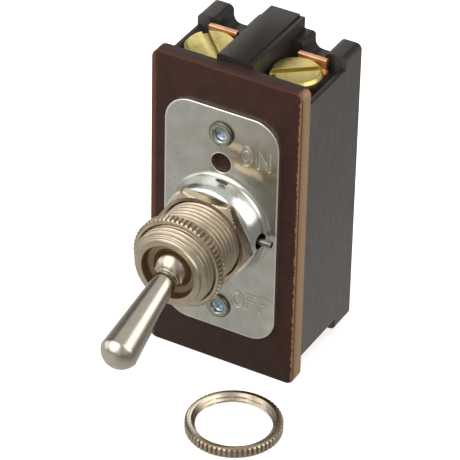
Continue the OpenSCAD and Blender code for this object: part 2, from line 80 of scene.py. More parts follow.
camera = bpy.data.objects.new("camera", bpy.data.cameras.new("camera"))
bpy.context.scene.collection.objects.link(camera)
camera.data.sensor_width = 36
camera.data.lens = 260.5
camera.data.clip_start, camera.data.clip_end = 0.02, 5
aim = Vector((0, face_y, 0)) + level * aim_right - upward * aim_down
turn = Matrix((right, top, back)).transposed().to_4x4()
camera.matrix_world = Matrix.Translation(aim + back * distance) @ turn
bpy.context.scene.camera = camera
bpy.context.scene.view_settings.view_transform = "Standard"


class Wire:
    """An output socket, or a number, that can be used in sums; each sum adds one Math node."""

    def __init__(self, tree, value):
        self.tree, self.value = tree, value

    def math(self, operation, *others):
        sockets = {str(i): value for i, value in enumerate([self, *others])}
        return self.tree.node("ShaderNodeMath", {"operation": operation}, **sockets)

    def __add__(self, other):
        return self.math("ADD", other)

    def __sub__(self, other):
        return self.math("SUBTRACT", other)

    def __rsub__(self, other):
        return Wire(self.tree, other).math("SUBTRACT", self)

    def __mul__(self, other):
        return self.math("MULTIPLY", other)

    def __truediv__(self, other):
        return self.math("DIVIDE", other)

    __radd__, __rmul__ = __add__, __mul__

    def smooth(self, low, high):
        """0 below low, 1 above high and a smooth step between them; low may be the larger."""
        return self.tree.node("ShaderNodeMapRange", {"interpolation_type": "SMOOTHSTEP"},
                              Value=self, From_Min=low, From_Max=high)


class Tree:
    """The node tree of one material or of the world."""

    def __init__(self, owner):
        owner.use_nodes = True
        self.owner, self.tree = owner, owner.node_tree
        self.tree.nodes.clear()

    def node(self, kind, settings=None, take=0, **inputs):
        """Adds a node: its settings first, then its sockets by number, or by name with _ for a
        space. The result is its output number take."""
        made = self.tree.nodes.new(kind)
        for key, value in (settings or {}).items():
            setattr(made, key, value)
        for key, value in inputs.items():
            socket = made.inputs[int(key) if key.isdigit() else key.replace("_", " ")]
            value = value.value if isinstance(value, Wire) else value
            if isinstance(value, bpy.types.NodeSocket):
                self.tree.links.new(value, socket)
            elif isinstance(value, tuple) and len(value) == 3 and socket.type == "RGBA":
                socket.default_value = (*value, 1)
            else:
                socket.default_value = value
        return Wire(self, made.outputs[take])

    def path(self, kind):
        """1 for rays of a kind of the Light Path node, 0 for others."""
        return Wire(self, self.node("ShaderNodeLightPath").value.node.outputs[kind])

    def mix(self, share, a, b):
        """Colour a where share is 0 and colour b where it is 1."""
        return self.node("ShaderNodeMix", {"data_type": "RGBA"}, take=2,
                         **{"0": share, "6": a, "7": b})

    def place(self, scale=(1, 1, 1)):
        """Object coordinates, stretched along each axis by scale."""
        spot = self.node("ShaderNodeTexCoord", take=3)
        return self.node("ShaderNodeMapping", Vector=spot, Scale=scale)

    def axes(self):
        """Object coordinates in millimetres, as three separate numbers."""
        spot = self.place((1 / MM, 1 / MM, 1 / MM))
        split = self.node("ShaderNodeSeparateXYZ", Vector=spot)
        return [Wire(self, socket) for socket in split.value.node.outputs]

    def noise(self, scale, detail=3.0, stretch=(1, 1, 1)):
        """Noise from 0 to 1 with about scale bumps a millimetre."""
        return self.node("ShaderNodeTexNoise", Vector=self.place(stretch), Scale=scale / MM,
                         Detail=detail, Roughness=0.55)

    def bump(self, height, depth_mm):
        """Normal of a surface raised by height times depth_mm."""
        return self.node("ShaderNodeBump", Height=height, Distance=depth_mm * MM, Strength=1.0)


def surface(name, **inputs):
    """A new material with one Principled shader; inputs are its sockets by name."""
    material = bpy.data.materials.new(name)
    tree = Tree(material)
    made = {key: value(tree) if callable(value) else value for key, value in inputs.items()}
    only_surface(tree, tree.node("ShaderNodeBsdfPrincipled", **made))
    return material


def srgb(*levels):
    """Linear colour from display levels between 11 and 255: ((v / 255 + 0.055) / 1.055) ^ 2.4."""
    return tuple(((v / 255 + 0.055) / 1.055) ** 2.4 for v in levels)


def only_surface(tree, shader):
    """Joins the last shader to the material's or the world's output."""
    kind = "World" if isinstance(tree.owner, bpy.types.World) else "Material"
    end = tree.tree.nodes.new("ShaderNodeOutput" + kind)
    tree.tree.links.new(shader.value, end.inputs[0])


# Seen directly the table is white. In a polished surface it is a grey that darkens to the right.
floor_z, reach = cad_box[0][2], 2
table_shade, table_glow = 0.84, 0.62
table = bpy.data.meshes.new("table")
table.from_pydata([(-reach, -reach, floor_z), (reach, -reach, floor_z), (reach, reach, floor_z),
                   (-reach, reach, floor_z)], [], [(0, 1, 2, 3)])
floor = bpy.data.objects.new("table", table)
bpy.context.scene.collection.objects.link(floor)
material = bpy.data.materials.new("table_white")
tree = Tree(material)
seen, mirrored = tree.path("Is Camera Ray"), tree.path("Is Glossy Ray")
x = tree.axes()[0]
matte = tree.node("ShaderNodeBsdfDiffuse", Color=(table_shade,) * 3)
glow = tree.node("ShaderNodeEmission", Color=(1.0, 1.0, 1.0), Strength=seen * table_glow)
lit = tree.node("ShaderNodeAddShader", **{"0": matte, "1": glow})
grey = tree.node("ShaderNodeEmission", Color=(1.0, 0.97, 0.93),
                 Strength=x.smooth(60, -20) * 0.38 + 0.24)
only_surface(tree, tree.node("ShaderNodeMixShader", **{"0": mirrored, "1": lit, "2": grey}))
table.materials.append(material)

# The room: white behind the table, an even grey light, and soft panels that only polished
# surfaces show. A panel is (direction, radius in degrees, how soft its rim is, brightness), and a
# shade takes a share of the light away in the same form.
PANELS = [
    ((0.80, 0.12, 0.60), 27, 7, 1.7),
    ((-0.34, -0.67, 0.66), 31, 6, 1.75),
    ((-0.93, -0.30, 0.12), 17, 8, 1.1),
    ((-0.58, 0.72, 0.38), 15, 6, 1.5),
    ((0.2, -0.95, 0.25), 16, 10, 0.35),
    ((0.1, 0.75, 0.2), 18, 9, 0.5),
    ((0.85, -0.46, 0.25), 18, 10, 0.16)]
SHADES = [((-0.78, 0.31, 0.55), 15, 8, 0.75), ((-0.05, 0.75, 0.66), 18, 9, 0.6)]
ROOM_GREY = 0.42
world = bpy.data.worlds.new("room")
bpy.context.scene.world = world
tree = Tree(world)
seen, mirrored = tree.path("Is Camera Ray"), tree.path("Is Glossy Ray")
direction = tree.node("ShaderNodeTexCoord")
height = tree.node("ShaderNodeSeparateXYZ", take=2, Vector=direction)


def lobe(middle, radius, rim):
    """1 within radius degrees of a direction, falling to 0 over the rim."""
    middle = Vector(middle).normalized()
    facing = tree.node("ShaderNodeVectorMath", {"operation": "DOT_PRODUCT"}, take=1,
                       **{"0": direction, "1": middle})
    return facing.smooth(math.cos(math.radians(radius + rim)),
                         math.cos(math.radians(radius - rim)))


polish = height.smooth(-0.1, 1) * 0.4 + 0.21
for middle, radius, rim, strength in PANELS:
    polish = polish + lobe(middle, radius, rim) * strength
for middle, radius, rim, strength in SHADES:
    polish = polish * (1 - lobe(middle, radius, rim) * strength)
dim = tree.node("ShaderNodeBackground", Color=(1.0, 0.985, 0.96),
                Strength=polish * mirrored + (1 - mirrored) * ROOM_GREY)
white = tree.node("ShaderNodeBackground", Color=(1.0, 1.0, 1.0), Strength=1.0)
only_surface(tree, tree.node("ShaderNodeMixShader", **{"0": seen, "1": dim, "2": white}))


def panel_light(name, place, size, power, colour=(1, 1, 1)):
    """A rectangular softbox at place, in metres, turned to the switch; polish doesn't show it."""
    lamp = bpy.data.lights.new(name, "AREA")
    lamp.shape, lamp.size, lamp.size_y = "RECTANGLE", *size
    lamp.energy, lamp.color = power, colour
    made = bpy.data.objects.new(name, lamp)
    bpy.context.scene.collection.objects.link(made)
    made.location = place
    made.rotation_euler = (-Vector(place)).to_track_quat("-Z", "Y").to_euler()
    made.visible_glossy = False


panel_light("overhead", (0.02, -0.16, 0.52), (0.46, 0.34), 2.3, (1, 0.985, 0.96))
panel_light("left_front", (-0.42, -0.38, 0.16), (0.22, 0.42), 0.8)
panel_light("right_side", (0.52, -0.12, 0.2), (0.3, 0.5), 1.6)


# ---------------------------------------------------------------------------------------------
# Front plate. A saw-cut sheet of paper-based phenolic laminate: the pressed face is dark and
# smooth, the cut edges show the pale layers, and the front edge is broken with a file.
# ---------------------------------------------------------------------------------------------
def mesh_piece(name, corners, faces, material, sharp=32, flip=False):
    """A piece from an array of corners and a list of faces, shaded smooth between sharp edges."""
    data = bpy.data.meshes.new(name)
    data.from_pydata([tuple(c) for c in np.asarray(corners, float)], [], [tuple(f) for f in faces])
    if flip:
        data.flip_normals()
    data.polygons.foreach_set("use_smooth", np.ones(len(data.polygons), bool))
    data.set_sharp_from_angle(angle=math.radians(sharp))
    data.materials.append(material)
    piece = bpy.data.objects.new(name, data)
    bpy.context.scene.collection.objects.link(piece)
    return piece


def wrapped_grid(name, spots, material, closed=True, sharp=32):
    """A tube of rings: spots[i, j] is point j of ring i. The last ring joins the first when closed,
    and otherwise each end ring is drawn together to its middle. Faces are turned outwards."""
    rings, around = spots.shape[:2]
    i, j = np.meshgrid(np.arange(rings if closed else rings - 1), np.arange(around), indexing="ij")
    a, b = i * around + j, i * around + (j + 1) % around
    c, d = (i + 1) % rings * around + (j + 1) % around, (i + 1) % rings * around + j
    faces = np.stack([a, b, c, d], -1).reshape(-1, 4)
    corners = spots.reshape(-1, 3)
    p = corners[faces]
    size = np.einsum("ij,ij->", p[:, 0], np.cross(p[:, 1], p[:, 2])) + np.einsum(
        "ij,ij->", p[:, 0], np.cross(p[:, 2], p[:, 3]))
    faces = faces.tolist()
    if not closed:
        corners = np.vstack([corners, spots[0].mean(0), spots[-1].mean(0)])
        first, last = rings * around, (rings - 1) * around
        faces += [(first, (k + 1) % around, k) for k in range(around)]
        faces += [(first + 1, last + k, last + (k + 1) % around) for k in range(around)]
    return mesh_piece(name, corners, faces, material, sharp, flip=size < 0)


def plate_outline(width, height, radius, middle_z, steps=14):
    """Rounded rectangle as points (x, z): four quarter circles joined by straight sides."""
    turn = np.linspace(0, math.pi / 2, steps + 1)
    straight_x, straight_z = width / 2 - radius, height / 2 - radius
    corners = [(straight_x, straight_z, turn), (-straight_x, straight_z, turn + math.pi / 2),
               (-straight_x, -straight_z, turn + math.pi),
               (straight_x, -straight_z, turn + math.pi * 1.5)]
    x = np.concatenate([mx + radius * np.cos(angle) for mx, _, angle in corners])
    z = np.concatenate([mz + radius * np.sin(angle) for _, mz, angle in corners])
    return x, z + middle_z


low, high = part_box("front_plate")
plate_r, plate_bevel, plate_hole = 1.2 * MM, 0.28 * MM, 6.0 * MM
size = high - low
mid_z = (high.z + low.z) / 2
rings = []
for inset, y in [(plate_bevel, low.y), (plate_bevel * 0.3, low.y + plate_bevel * 0.3),
                 (0, low.y + plate_bevel), (0, high.y)]:
    x, z = plate_outline(size.x - 2 * inset, size.z - 2 * inset, plate_r - inset, mid_z)
    rings.append(np.stack([x, np.full_like(x, y), z], -1))
angle = np.arctan2(rings[0][:, 2] - mid_z, rings[0][:, 0])
for y in (high.y, low.y):
    hole = [plate_hole * np.cos(angle), np.full_like(angle, y), plate_hole * np.sin(angle)]
    rings.append(np.stack(hole, -1))

DARK_FACE, RED_EDGE = srgb(56, 33, 25), srgb(78, 43, 33)
SAWN_SIDE, SHADED_SAWN_TOP, LAYER = srgb(146, 122, 92), srgb(42, 30, 26), srgb(84, 62, 44)


def laminate_colour(tree):
    """Dark mottled face; on the cut edges, thin layers that follow the plate, paler on the sides,
    with the cut top and bottom faces painted darker as painted shade.
    The face's left edge is rubbed, its right edge torn and its upper corners frayed."""
    out = tree.node("ShaderNodeSeparateXYZ", Vector=tree.node("ShaderNodeTexCoord", take=1))
    _, ny, nz = [Wire(tree, socket) for socket in out.value.node.outputs]
    x, y, z = tree.axes()
    on_sides = nz.math("ABSOLUTE").smooth(0.5, 0.3)
    rubbed_at, torn_at, frayed_at = -10.5, 11.95, 35.6  # x, x, and |x| + z in millimetres
    cloud = tree.noise(0.5, 5).smooth(0.3, 0.7)
    specks = tree.noise(9, 2).smooth(0.62, 0.74)
    face = tree.mix(cloud, DARK_FACE, srgb(47, 28, 21))
    face = tree.mix(specks * 0.5, face, srgb(78, 56, 44))
    wander = tree.noise(0.5, 3, (1, 1, 0.3))
    layers = ((y + wander * 0.5) * 15).math("SINE").smooth(-0.4, 1)
    grit = tree.noise(6, 3).smooth(0.35, 0.75)
    side = tree.mix(layers * 0.45, SAWN_SIDE, LAYER)
    side = tree.mix(grit * 0.45, side, srgb(104, 82, 58))
    # The sawn top and bottom colour is darker than the sides: painted shade under the overhead
    # light.
    ends = tree.mix(layers * 0.35, SHADED_SAWN_TOP, srgb(52, 36, 33))
    ends = tree.mix(grit * 0.25, ends, srgb(86, 66, 58))
    cut = tree.mix(nz.math("ABSOLUTE").smooth(0.5, 0.85), side, ends)
    chips = tree.noise(0.9, 5) * 0.7
    rubbed = (x + chips).smooth(rubbed_at, rubbed_at - 0.45) * on_sides
    face = tree.mix(rubbed * 0.75, face, srgb(106, 62, 38))
    torn = (x + tree.noise(2.4, 4) * 1.1).smooth(torn_at, torn_at + 0.2) * on_sides
    face = tree.mix(torn * 0.8, face, srgb(146, 108, 74))
    wide_x = x.math("ABSOLUTE")
    frayed = (wide_x + z + chips * 2).smooth(frayed_at, frayed_at + 0.5)
    frayed = frayed * wide_x.smooth(10.2, 10.9)
    face = tree.mix(frayed * 0.85, face, srgb(150, 112, 88))
    cut = tree.mix(frayed * 0.6, cut, srgb(158, 122, 98))
    sawn = ny.math("ABSOLUTE").smooth(0.35, 0.1)
    broken = ny.math("ABSOLUTE").smooth(0.97, 0.9)
    return tree.mix(sawn, tree.mix(broken, face, RED_EDGE), cut)


laminate = surface(
    "phenolic_laminate", Base_Color=laminate_colour,
    Roughness=lambda t: t.noise(1.2, 4) * 0.16 + 0.42,
    Normal=lambda t: t.bump(t.noise(5, 4), 0.02), Specular_IOR_Level=0.22)
front_plate = wrapped_grid("laminate_plate", np.array(rings), laminate, sharp=30)
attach(front_plate, "switch")
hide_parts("front_plate")

# ---------------------------------------------------------------------------------------------
# Mounting plate. Zinc-plated sheet steel with the dome drawn in its middle, an index hole, and
# ON and OFF struck into it with round-edged punches, which raise a lip beside each stroke.
# ---------------------------------------------------------------------------------------------
def eased(name, node, width, material):
    """A merged copy of a CAD node, with its sharp edges rounded to width."""
    merge_gap, flat_angle = 2e-6, math.radians(0.6)
    bevel_over, sharp_over = math.radians(35), math.radians(32)
    data = frame["nodes"][node].data.copy()
    data.name = name
    data.materials.clear()
    data.materials.append(material)
    piece = bpy.data.objects.new(name, data)
    bpy.context.scene.collection.objects.link(piece)
    work = bmesh.new()
    work.from_mesh(data)
    bmesh.ops.remove_doubles(work, verts=work.verts, dist=merge_gap)
    bmesh.ops.dissolve_limit(work, angle_limit=flat_angle, verts=work.verts, edges=work.edges)
    work.to_mesh(data)
    work.free()
    data.polygons.foreach_set("use_smooth", np.ones(len(data.polygons), bool))
    edge = piece.modifiers.new("edges", "BEVEL")
    edge.width, edge.segments, edge.limit_method = width, 2, "ANGLE"
    edge.angle_limit, edge.use_clamp_overlap = bevel_over, True
    edge.harden_normals = True
    data.set_sharp_from_angle(angle=sharp_over)
    return piece


def stroke(tree, x, z, ends, width, soft=0.1):
    """1 inside a straight stroke between two ends (mm), 0 outside, with a soft edge."""
    (ax, az), (bx, bz) = ends
    length = math.hypot(bx - ax, bz - az)
    ux, uz = (bx - ax) / length, (bz - az) / length
    along = (x - ax) * ux + (z - az) * uz
    over = along - along.math("MAXIMUM", 0.0).math("MINIMUM", length)
    side = (z - az) * ux - (x - ax) * uz
    return (over * over + side * side).math("SQRT").smooth(width / 2 + soft, width / 2 - soft)


def oval(tree, x, z, middle, half, width):
    """1 on an oval stroke round middle (mm), 0 off it, with a soft edge."""
    u, v = (x - middle[0]) / half[0], (z - middle[1]) / half[1]
    gap = ((u * u + v * v).math("SQRT") - 1).math("ABSOLUTE") * min(half)
    return gap.smooth(width / 2 + 0.12, width / 2 - 0.08)


# Size and place of the struck letters in millimetres: the pen's width, the middle and the half
# size of each O, the height and width of a letter, and the middles of the N and the two Fs.
PEN = 0.3
OVALS, OVAL_HALF = [(4.03, 12.15), (3.07, -12.3)], (0.75, 1.18)
TALL, WIDE = 2.45, 1.7
N_MIDDLE, F_MIDDLES = (6.73, 12.14), [(5.18, -12.2), (7.28, -12.1)]


def letter_lines():
    """The centre lines (mm) of the straight strokes of the N and the two Fs."""
    left, right = N_MIDDLE[0] - WIDE / 2, N_MIDDLE[0] + WIDE / 2
    foot, head = N_MIDDLE[1] - TALL / 2, N_MIDDLE[1] + TALL / 2
    lines = [((left, foot), (left, head)), ((left, head), (right, foot)),
             ((right, foot), (right, head))]
    for middle, rise in F_MIDDLES:
        left, foot, head = middle - WIDE / 2 + 0.15, rise - TALL / 2, rise + TALL / 2
        lines += [((left, foot), (left, head)), ((left, head), (left + WIDE * 0.85, head)),
                  ((left, rise + 0.1), (left + WIDE * 0.7, rise + 0.1))]
    return lines


def letters(tree):
    """Depth of the struck letters, from 0 on the plate to 1 at the bottom of a stroke."""
    x, _, z = tree.axes()
    marks = [oval(tree, x, z, middle, OVAL_HALF, PEN) for middle in OVALS]
    marks += [stroke(tree, x, z, ends, PEN) for ends in letter_lines()]
    total = marks[0]
    for mark in marks[1:]:
        total = total.math("MAXIMUM", mark)
    return total


def struck_lips(name, low, high, front):
    """The metal that a punch raises beside its stroke, as a sheet over low..high (mm) on the front
    of the plate. It stands lip * exp(-((gap - reach) / spread)^2) - sunk millimetres proud, where
    gap is the distance from the nearest centre line. What lies well under the front is left out,
    and the rest gets a back inside the plate."""
    lip, reach, spread, sunk, step = 0.045, PEN / 2 + 0.13, 0.09, 0.012, 0.05
    least, back_t = 0.04 * lip - sunk, 0.03 * MM
    x, z = np.meshgrid(np.arange(low[0], high[0], step), np.arange(low[1], high[1], step))
    gap = np.full(x.shape, np.inf)
    for (ax, az), (bx, bz) in letter_lines():
        length = math.hypot(bx - ax, bz - az)
        ux, uz = (bx - ax) / length, (bz - az) / length
        along = np.clip((x - ax) * ux + (z - az) * uz, 0, length)
        gap = np.minimum(gap, np.hypot(x - ax - along * ux, z - az - along * uz))
    for mx, mz in OVALS:
        ring = np.hypot((x - mx) / OVAL_HALF[0], (z - mz) / OVAL_HALF[1])
        gap = np.minimum(gap, np.abs(ring - 1) * min(OVAL_HALF))
    rise = lip * np.exp(-((gap - reach) / spread) ** 2) - sunk
    points = np.stack([x * MM, front - rise * MM, z * MM], axis=-1).reshape(-1, 3)
    index = np.arange(x.size).reshape(x.shape)
    corners = np.stack([index[:-1, :-1], index[:-1, 1:], index[1:, 1:], index[1:, :-1]], axis=-1)
    corners = corners.reshape(-1, 4)
    shown = corners[(rise.reshape(-1)[corners] > least).any(axis=1)]
    used, faces = np.unique(shown, return_inverse=True)
    data = bpy.data.meshes.new(name)
    data.from_pydata(points[used].tolist(), [], faces.reshape(-1, 4).tolist())
    data.materials.append(zinc)
    data.polygons.foreach_set("use_smooth", np.ones(len(data.polygons), bool))
    piece = bpy.data.objects.new(name, data)
    bpy.context.scene.collection.objects.link(piece)
    closed = piece.modifiers.new("back", "SOLIDIFY")
    closed.thickness, closed.offset = back_t, -1
    return piece


def from_axis(tree):
    """Distance from the bushing's axis in millimetres."""
    x, _, z = tree.axes()
    return (x * x + z * z).math("SQRT")


def rolled_edge(tree, x, z):
    """1 at the sheet's outline and at the index hole's rim, falling to 0 over a narrow band."""
    corner_r, half_x, half_z, band = 4.1, 9.05, 18.4, 0.32
    hole_z, hole_rim = 9.75, 1.44
    u = (x.math("ABSOLUTE") - (half_x - corner_r)).math("MAXIMUM", 0.0)
    v = (z.math("ABSOLUTE") - (half_z - corner_r)).math("MAXIMUM", 0.0)
    outline = (u * u + v * v).math("SQRT") - corner_r
    rise = z - hole_z
    rim = hole_rim - (x * x + rise * rise).math("SQRT")
    return (outline.math("MAXIMUM", rim) + band).math("MAXIMUM", 0.0) / band


def zinc_colour(tree):
    """Bright zinc: pale grey with faint clouds and dark specks. Painted light on it: a paler dome
    as a painted highlight, painted shade in a shallow hollow under ON, cream streaks of painted
    reflection, a painted highlight along the rolled edge and the index hole's rim, and struck
    letters painted lighter as a painted highlight."""
    cloud = tree.noise(0.35, 4).smooth(0.3, 0.7)
    tint = tree.mix(cloud, srgb(200, 200, 192), srgb(186, 186, 176))
    smear = tree.noise(1.1, 5, (1, 1, 0.35)).smooth(0.55, 0.8)
    tint = tree.mix(smear * 0.4, tint, srgb(176, 178, 174))
    # The dome is painted paler: a painted highlight.
    tint = tree.mix(from_axis(tree).smooth(7.9, 7.4) * 0.8, tint, srgb(232, 234, 230))
    x, _, z = tree.axes()
    wave = tree.noise(0.7, 3) * 1.2 - 0.6
    # Painted shade of a shallow dish in the sheet under ON, patchy with noise.
    hollow = stroke(tree, x, z, ((3.6, 11.7), (7.4, 10.6)), 4.6, 1.6)
    dish_shade = hollow * tree.noise(0.55, 4, (1, 1, 1.6)).smooth(0.42, 0.6)
    tint = tree.mix(dish_shade * 0.55, tint, srgb(150, 139, 112))
    # Cream streaks painted on the sheet: a painted reflection.
    for ends in [((2.6, 10.0), (6.0, 9.5)), ((1.0, 13.5), (2.8, 13.1))]:
        tint = tree.mix(stroke(tree, x, z + wave, ends, 1.1, 0.35) * 0.9, tint, srgb(255, 243, 220))
    tint = tree.mix(tree.noise(1.7, 2).smooth(0.7, 0.76) * 0.6, tint, srgb(120, 122, 116))
    # A painted highlight along the rolled outline and the index hole's rim.
    tint = tree.mix(rolled_edge(tree, x, z).smooth(0.0, 0.7), tint, srgb(255, 253, 246))
    # The struck letters are painted lighter: a painted highlight on their strokes.
    return tree.mix(letters(tree) * 0.25, tint, srgb(232, 230, 218))


def zinc_height(tree):
    """Rise of the sheet in tenths of a millimetre: it is faintly wavy, its outline is rolled over,
    the letters are sunk, and the dome falls off as the square of the distance past its foot."""
    x, y, z = tree.axes()
    dome_foot = face_y / MM - 1.2
    climb = (dome_foot - y).math("MAXIMUM", 0.0)
    edge = rolled_edge(tree, x, z)
    wavy = tree.noise(2.5, 4) * 0.05
    return wavy - letters(tree) * 0.9 - climb * climb * 0.62 - edge * edge * 1.3


zinc = surface(
    "bright_zinc", Base_Color=zinc_colour, Metallic=1.0,
    Roughness=lambda t: (t.noise(1.5, 5, (1, 1, 0.5)) * 0.2 + 0.22
                         - from_axis(t).smooth(8.0, 7.6) * 0.14),
    Normal=lambda t: t.bump(zinc_height(t), 0.10))
sheet_t, rolled_r = 0.9 * MM, 0.18 * MM
mounting_plate = eased("zinc_plate", "mounting_plate", rolled_r, zinc)
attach(mounting_plate, "switch")
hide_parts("mounting_plate")
sheet_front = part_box("mounting_plate")[1].y - sheet_t
for name, low, high in [("struck_on", (2.6, 10.4), (8.3, 13.9)),
                        ("struck_off", (1.6, -14.1), (8.9, -10.4))]:
    lips = struck_lips(name, low, high, sheet_front)
    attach(lips, "switch")

# ---------------------------------------------------------------------------------------------
# Rivets. Two semi-tubular steel rivets, blue-zinc plated, hold the plates and the housing
# together. Each is rolled over on the plate, and its head lies in a sunk seat at the back.
# ---------------------------------------------------------------------------------------------
def about_axis(radius, ahead, turn, centre=(0, 0)):
    """Points at a radius and a turn about a line along -Y, ahead of the front plate's face."""
    x = centre[0] + radius * np.cos(turn)
    z = centre[1] + radius * np.sin(turn)
    return np.stack(np.broadcast_arrays(x, face_y - ahead, z), -1)


def turned(name, profile, material, centre, steps=64, sharp=40):
    """A ring turned from a closed profile of (radius, distance ahead), both in metres."""
    turn = np.linspace(0, 2 * math.pi, steps, endpoint=False)[None, :]
    profile = np.array(profile)
    spots = about_axis(profile[:, :1], profile[:, 1:], turn, centre)
    return wrapped_grid(name, spots, material, True, sharp)


def arc(centre, radius, start, stop, steps):
    """Points of a circular arc in a (radius, distance ahead) profile; angles in degrees."""
    a = np.radians(np.linspace(start, stop, steps + 1))
    return [(centre[0] + radius * math.cos(v), centre[1] + radius * math.sin(v)) for v in a]


def rivet_finish(name, centre):
    """Zinc that is grey where the head was rolled and blue at the bottom of the sunk middle."""
    def colour(tree):
        """Grey outside, a darker outer rim of painted shade, and blue within a millimetre of the
        rivet's own axis.
        """
        x, _, z = tree.axes()
        u, v = x - centre[0] / MM, z - centre[1] / MM
        r = (u * u + v * v).math("SQRT")
        grey_cloud = tree.noise(1.4, 4).smooth(0.3, 0.7)
        rolled = tree.mix(grey_cloud, srgb(178, 180, 170), srgb(160, 162, 154))
        # A darker band round the head's outer rim: painted shade.
        rolled = tree.mix(r.smooth(1.5, 1.7), rolled, srgb(120, 118, 104))
        blue_cloud = tree.noise(2.2, 4).smooth(0.35, 0.65)
        blue = tree.mix(blue_cloud, srgb(112, 146, 172), srgb(206, 220, 232))
        return tree.mix(r.smooth(1.02, 0.9), rolled, blue)

    return surface(
        name, Metallic=1.0, Base_Color=colour, Roughness=lambda t: t.noise(3, 3) * 0.2 + 0.14,
        Normal=lambda t: t.bump(t.noise(3, 3), 0.03))


rivet_bore_r, tube_r, head_t, head_bevel = 1.0 * MM, 1.4 * MM, 0.5 * MM, 0.15 * MM
brim_r, lip_roll_r, dish_r = 0.24 * MM, 0.42 * MM, 1.72 * MM
dish_middle = 0.88 * MM
for node in ("rivet_top", "rivet_bottom"):
    low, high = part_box(node)
    centre = ((low.x + high.x) / 2, (low.z + high.z) / 2)
    head_r = (high.x - low.x) / 2
    crown, tail = face_y - low.y, face_y - high.y
    seat = crown - head_t
    profile = [(0.01 * MM, tail), (head_r - head_bevel, tail), (head_r, tail + head_bevel),
               (head_r, tail + head_t), (tube_r, tail + head_t), (tube_r, seat)]
    profile += arc((head_r - brim_r, seat + 0.22 * MM), brim_r, -75, 60, 6)
    profile += arc((rivet_bore_r + lip_roll_r, crown - lip_roll_r), lip_roll_r, 80, 180, 8)
    profile += arc((0, crown + dish_middle), dish_r, -54.5, -89.5, 8)
    piece = turned(node + "_head", profile, rivet_finish(node + "_zinc", centre), centre)
    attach(piece, "switch")
    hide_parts(node)

# ---------------------------------------------------------------------------------------------
# Bushing. Turned brass, nickel plated, with a 32-per-inch thread cut over its whole front and a
# bevelled mouth that leads down to the ball seat.
# ---------------------------------------------------------------------------------------------
low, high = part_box("bushing")
throw = next(joint for joint in frame["joints"] if joint["name"] == "lever_throw")
mouth, pivot = face_y - low.y, face_y - throw["pos_m"][1]
thread_r, pitch, depth = high.x, 0.794 * MM, 0.42 * MM
shoulder, relief, run_out = 4.9 * MM, 0.2 * MM, 0.5 * MM
end_long, end_deep = 0.9 * MM, 0.95 * MM
nut_from, nut_to, nut_fade = 11.6 * MM, 12.95 * MM, 0.2 * MM


def thread_height(ahead, turn):
    """Radius of the thread: a rounded V wave that climbs one pitch a turn, rises out of the
    turned-down shoulder and tapers to the mouth. Under the ring nut it is filled to a plain
    cylinder, since nothing shows there."""
    phase = (ahead / pitch - turn / (2 * math.pi)) % 1
    wave = np.clip((1 - np.abs(2 * phase - 1)) * 1.22 - 0.06, 0, 1)
    wave = wave * wave * (3 - 2 * wave) * 0.35 + wave * 0.65
    fade = np.clip((ahead - shoulder - relief) / run_out, 0, 1)
    taper = np.clip((ahead - (mouth - end_long)) / end_long, 0, 1)
    under_nut = (np.clip((ahead - nut_from) / nut_fade, 0, 1)
                 * np.clip((nut_to - ahead) / nut_fade, 0, 1))
    cut = depth * (1 - wave * fade) * (1 - 0.5 * taper - under_nut)
    return thread_r - end_deep * taper ** 1.15 - cut


turn = np.linspace(0, 2 * math.pi, 180, endpoint=False)[None, :]
rows = np.linspace(shoulder, mouth, 175)[:, None]
threads = about_axis(thread_height(rows, turn), rows + 0 * turn, turn)
lip_at = pivot / MM + 0.885
plain = [(4.24, mouth / MM), (4.16, mouth / MM - 0.03), (4.13, mouth / MM - 0.1)]  # rim
plain += [(4.05, lip_at + 0.4), (3.95, lip_at + 0.12), (3.65, lip_at)]  # wall of the mouth
plain += [(3.0, lip_at), (2.95, lip_at - 0.05)]  # lip over the ball
plain += [(3.06, pivot / MM + 0.4), (3.1, pivot / MM), (3.15, pivot / MM - 0.1), (3.15, 10.6)]
plain += [(4.6, 9.15), (4.6, 1.3), (5.4, 1.3)]  # bore round the tail, and the foot
plain += [(5.4, 3.4), (5.9, 3.4), (5.9, 4.1), (5.4, 4.1), (5.4, 4.9)]  # flange under the dome
plain = np.array(plain) * MM
inside = about_axis(plain[:, :1], plain[:, 1:], turn)


def nickel_colour(tree, grime):
    """Warm nickel, brown where grime is 1, with faint clouding."""
    cloud = tree.noise(0.8, 4).smooth(0.3, 0.7)
    tint = tree.mix(cloud, srgb(204, 192, 172), srgb(189, 176, 154))
    return tree.mix(grime, tint, srgb(128, 94, 56))


def thread_grime(tree):
    """Grime in the thread's roots, heavier in patches, and all over the inside of the mouth."""
    y = tree.axes()[1]
    r = from_axis(tree)
    root = r.smooth(5.82, 5.52) * (y - (face_y - mouth) / MM).smooth(0.7, 1.1)
    patch = tree.noise(0.6, 3).smooth(0.25, 0.75)
    inside = r.smooth(4.2, 4.1) * (r.smooth(3.7, 3.95) * 0.35 + patch * 0.1 + 0.42)
    return root * r.smooth(4.6, 5.3) * (patch * 0.4 + 0.35) + inside


def turning_marks(tree):
    """Fine rings on the mouth's rim, sin(24 r) of the distance r from the axis in millimetres."""
    r = from_axis(tree)
    return (r * 24).math("SINE") * r.smooth(5.7, 5.4)


nickel_thread = surface(
    "nickel_thread", Metallic=1.0, Base_Color=lambda t: nickel_colour(t, thread_grime(t)),
    Roughness=lambda t: thread_grime(t) * 0.2 + t.noise(2, 3) * 0.12 + 0.31,
    Normal=lambda t: t.bump(turning_marks(t), 0.012))
bushing = wrapped_grid("nickel_bushing", np.concatenate([threads, inside]), nickel_thread, True, 45)
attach(bushing, "switch")
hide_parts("bushing")

